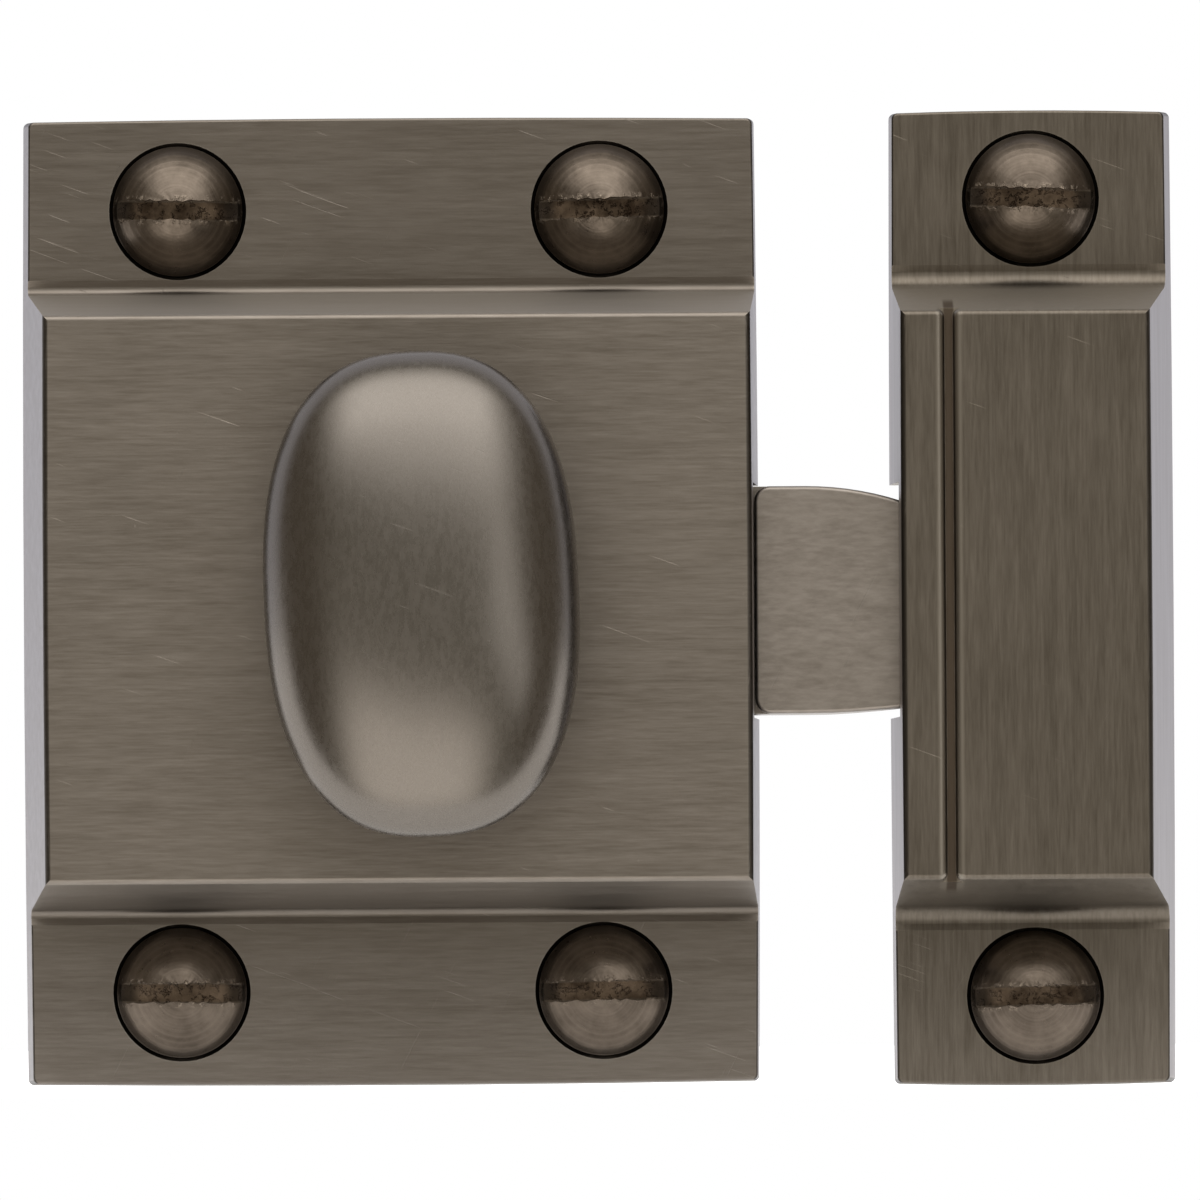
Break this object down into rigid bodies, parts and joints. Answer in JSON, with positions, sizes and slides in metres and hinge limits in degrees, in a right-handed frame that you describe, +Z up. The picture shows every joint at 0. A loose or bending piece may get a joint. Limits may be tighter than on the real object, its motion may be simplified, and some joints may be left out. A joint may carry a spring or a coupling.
{
  "type": "cupboard catch latch",
  "caption": "Surface-mounted cupboard catch: a cast case with an oval turn knob and a sprung bolt, and a cast keep with a grooved lip that takes the bolt's nose.",
  "frame": {"origin": "centre of the case's four screws on the mounting plane at the case's back", "axes": "+X along the bolt towards the keep, +Z up, the front faces -Y and the mounting plane is y = 0"},
  "size_m": [0.0596, 0.0343, 0.0504],
  "materials": {
    "casting": "brushed matt bronze plate",
    "keep_casting": "brushed matt bronze plate",
    "knob": "satin bronze plate",
    "bolt": "matt bronze plate",
    "wood_screws": "dark antique bronze plate",
    "plate_steel": "zinc plated",
    "inner_brass": "plain turned",
    "spring_steel": "drawn wire"
  },
  "bodies": {
    "case": {"case": "casting", "back_plate": "plate_steel", "back_plate_screws": "plate_steel", "case_screws": "wood_screws", "keep": "keep_casting", "keep_screws": "wood_screws", "knob_washer": "inner_brass", "bolt_spring": "spring_steel"},
    "knob": {"knob": "knob", "spindle": "inner_brass", "cam": "inner_brass", "cam_washer": "plate_steel"},
    "bolt": {"bolt": "bolt"}
  },
  "joints": [
    {"name": "knob_turn", "type": "hinge", "parent": "case", "child": "knob", "pos_m": [0.00175, -0.009, 0], "axis": [0, 1, 0], "range_deg": [0, 90]},
    {"name": "bolt_slide", "type": "slide", "parent": "case", "child": "bolt", "axis": [1, 0, 0], "range_m": [-0.004, 0], "stiffness_N_per_m": 600, "springref_m": 0.005, "deforming": ["bolt_spring"]}
  ],
  "couplings": [
    {"joint": "knob_turn", "follows": "bolt_slide", "rad_per_m": -392.7}
  ]
}
